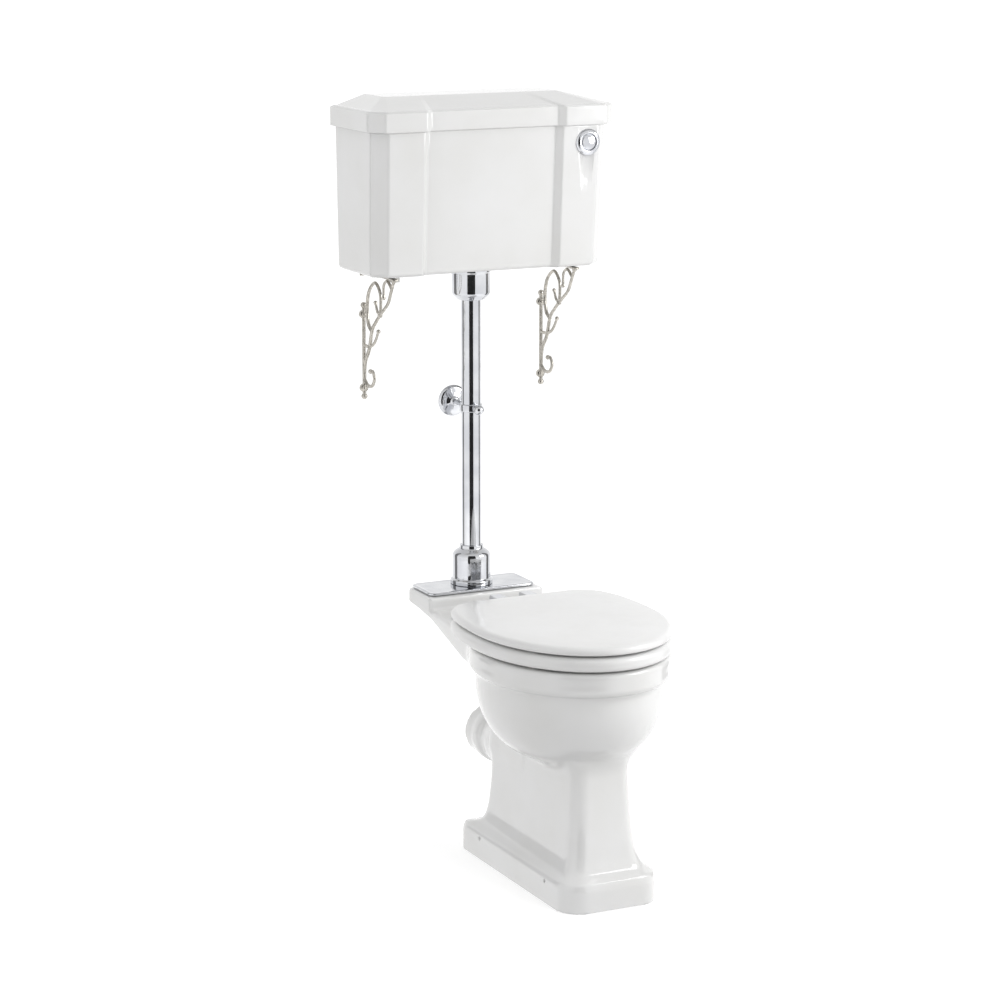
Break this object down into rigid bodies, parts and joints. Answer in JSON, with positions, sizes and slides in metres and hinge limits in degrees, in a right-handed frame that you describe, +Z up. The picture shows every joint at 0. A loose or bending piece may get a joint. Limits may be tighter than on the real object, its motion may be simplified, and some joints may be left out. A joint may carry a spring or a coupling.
{
  "type": "medium level toilet",
  "caption": "Floor-standing toilet pan with a seat and lid, fed by a chrome flush pipe from a cistern raised on a pair of wall scroll brackets.",
  "frame": {"origin": "on the floor, at the middle of the bounding box seen from above", "axes": "+Z up, the front of the seat faces -Y, the wall is the plane at the +Y end of the box, +X to the right of someone facing the toilet"},
  "size_m": [0.51, 0.7315, 1.438],
  "materials": {
    "glaze": "glossy white vitreous glaze over fireclay",
    "seat_lacquer": "white lacquer, semi-gloss, over moulded wood",
    "rubber": "black moulded rubber",
    "clear_rubber": "milky buffer rubber",
    "chrome": "polished chrome plate on brass",
    "nickel": "polished nickel plate on a brass casting",
    "white_plastic": "moulded valve plastic",
    "float_plastic": "orange moulded float",
    "brass": "turned brass",
    "spring_steel": "stainless spring wire"
  },
  "bodies": {
    "root": {"pan": "glaze", "cistern": "glaze", "shelf_gasket": "rubber", "flush_cone": "rubber", "flush_washer": "rubber", "fill_washer": "rubber", "bolt_washers": "rubber", "bracket_pads": "rubber", "shelf_plate": "chrome", "lower_cap": "chrome", "flush_pipe": "chrome", "pipe_clamp": "chrome", "clamp_nut": "chrome", "wall_rose": "chrome", "clamp_stem": "chrome", "bell_coupling": "chrome", "hinge_bar": "chrome", "hinge_posts": "chrome", "button_bezel": "chrome", "bracket_left": "nickel", "bracket_right": "nickel", "flush_valve": "white_plastic", "flush_backnut": "white_plastic", "overflow_tube": "white_plastic", "fill_valve": "white_plastic", "fill_backnut": "white_plastic", "crank_bearings": "white_plastic", "wing_nuts": "white_plastic", "button_nut": "white_plastic", "seat_bolts": "brass", "valve_spring": "spring_steel"},
    "lid": {"seat_lid": "seat_lacquer", "lid_knuckles": "chrome", "lid_buffers": "clear_rubber"},
    "ring": {"seat_ring": "seat_lacquer", "ring_knuckles": "chrome", "ring_buffers": "clear_rubber"},
    "button": {"push_button": "chrome", "push_rod": "brass"},
    "crank": {"crank_shaft": "brass", "crank_finger": "brass", "lift_lever": "brass"},
    "flush_stem": {"lift_stem": "white_plastic", "valve_seal": "rubber"},
    "float": {"float_arm": "white_plastic", "float_ball": "float_plastic"},
    "piston": {"fill_piston": "white_plastic"},
    "cover": {"cistern_lid": "glaze"}
  },
  "joints": [
    {"name": "lid_hinge", "type": "hinge", "parent": "root", "child": "lid", "pos_m": [0, 0.10375, 0.478], "axis": [-1, 0, 0], "range_deg": [0, 100]},
    {"name": "seat_hinge", "type": "hinge", "parent": "root", "child": "ring", "pos_m": [0, 0.10375, 0.478], "axis": [-1, 0, 0], "range_deg": [0, 96]},
    {"name": "flush_button", "type": "slide", "parent": "root", "child": "button", "axis": [0, 1, 0], "range_m": [0, 0.008], "stiffness_N_per_m": 300, "springref_m": -0.004},
    {"name": "crank_turn", "type": "hinge", "parent": "root", "child": "crank", "pos_m": [0, 0.31575, 1.314], "axis": [-1, 0, 0], "range_deg": [0, 14]},
    {"name": "valve_lift", "type": "slide", "parent": "root", "child": "flush_stem", "axis": [0, 0, 1], "range_m": [0, 0.0086], "deforming": ["valve_spring"]},
    {"name": "float_drop", "type": "hinge", "parent": "root", "child": "float", "pos_m": [-0.14, 0.30575, 1.322], "axis": [0, 1, 0], "range_deg": [0, 25]},
    {"name": "piston_open", "type": "slide", "parent": "root", "child": "piston", "axis": [0, 0, 1], "range_m": [0, 0.0027]},
    {"name": "cover_lift", "type": "slide", "parent": "root", "child": "cover", "axis": [0, 0, 1], "range_m": [0, 0.12]}
  ],
  "couplings": [
    {"joint": "seat_hinge", "follows": "lid_hinge", "ratio": 0.95},
    {"joint": "crank_turn", "follows": "flush_button", "rad_per_m": 30.303},
    {"joint": "valve_lift", "follows": "flush_button", "ratio": 1.0606},
    {"joint": "piston_open", "follows": "float_drop", "m_per_rad": 0.006}
  ]
}
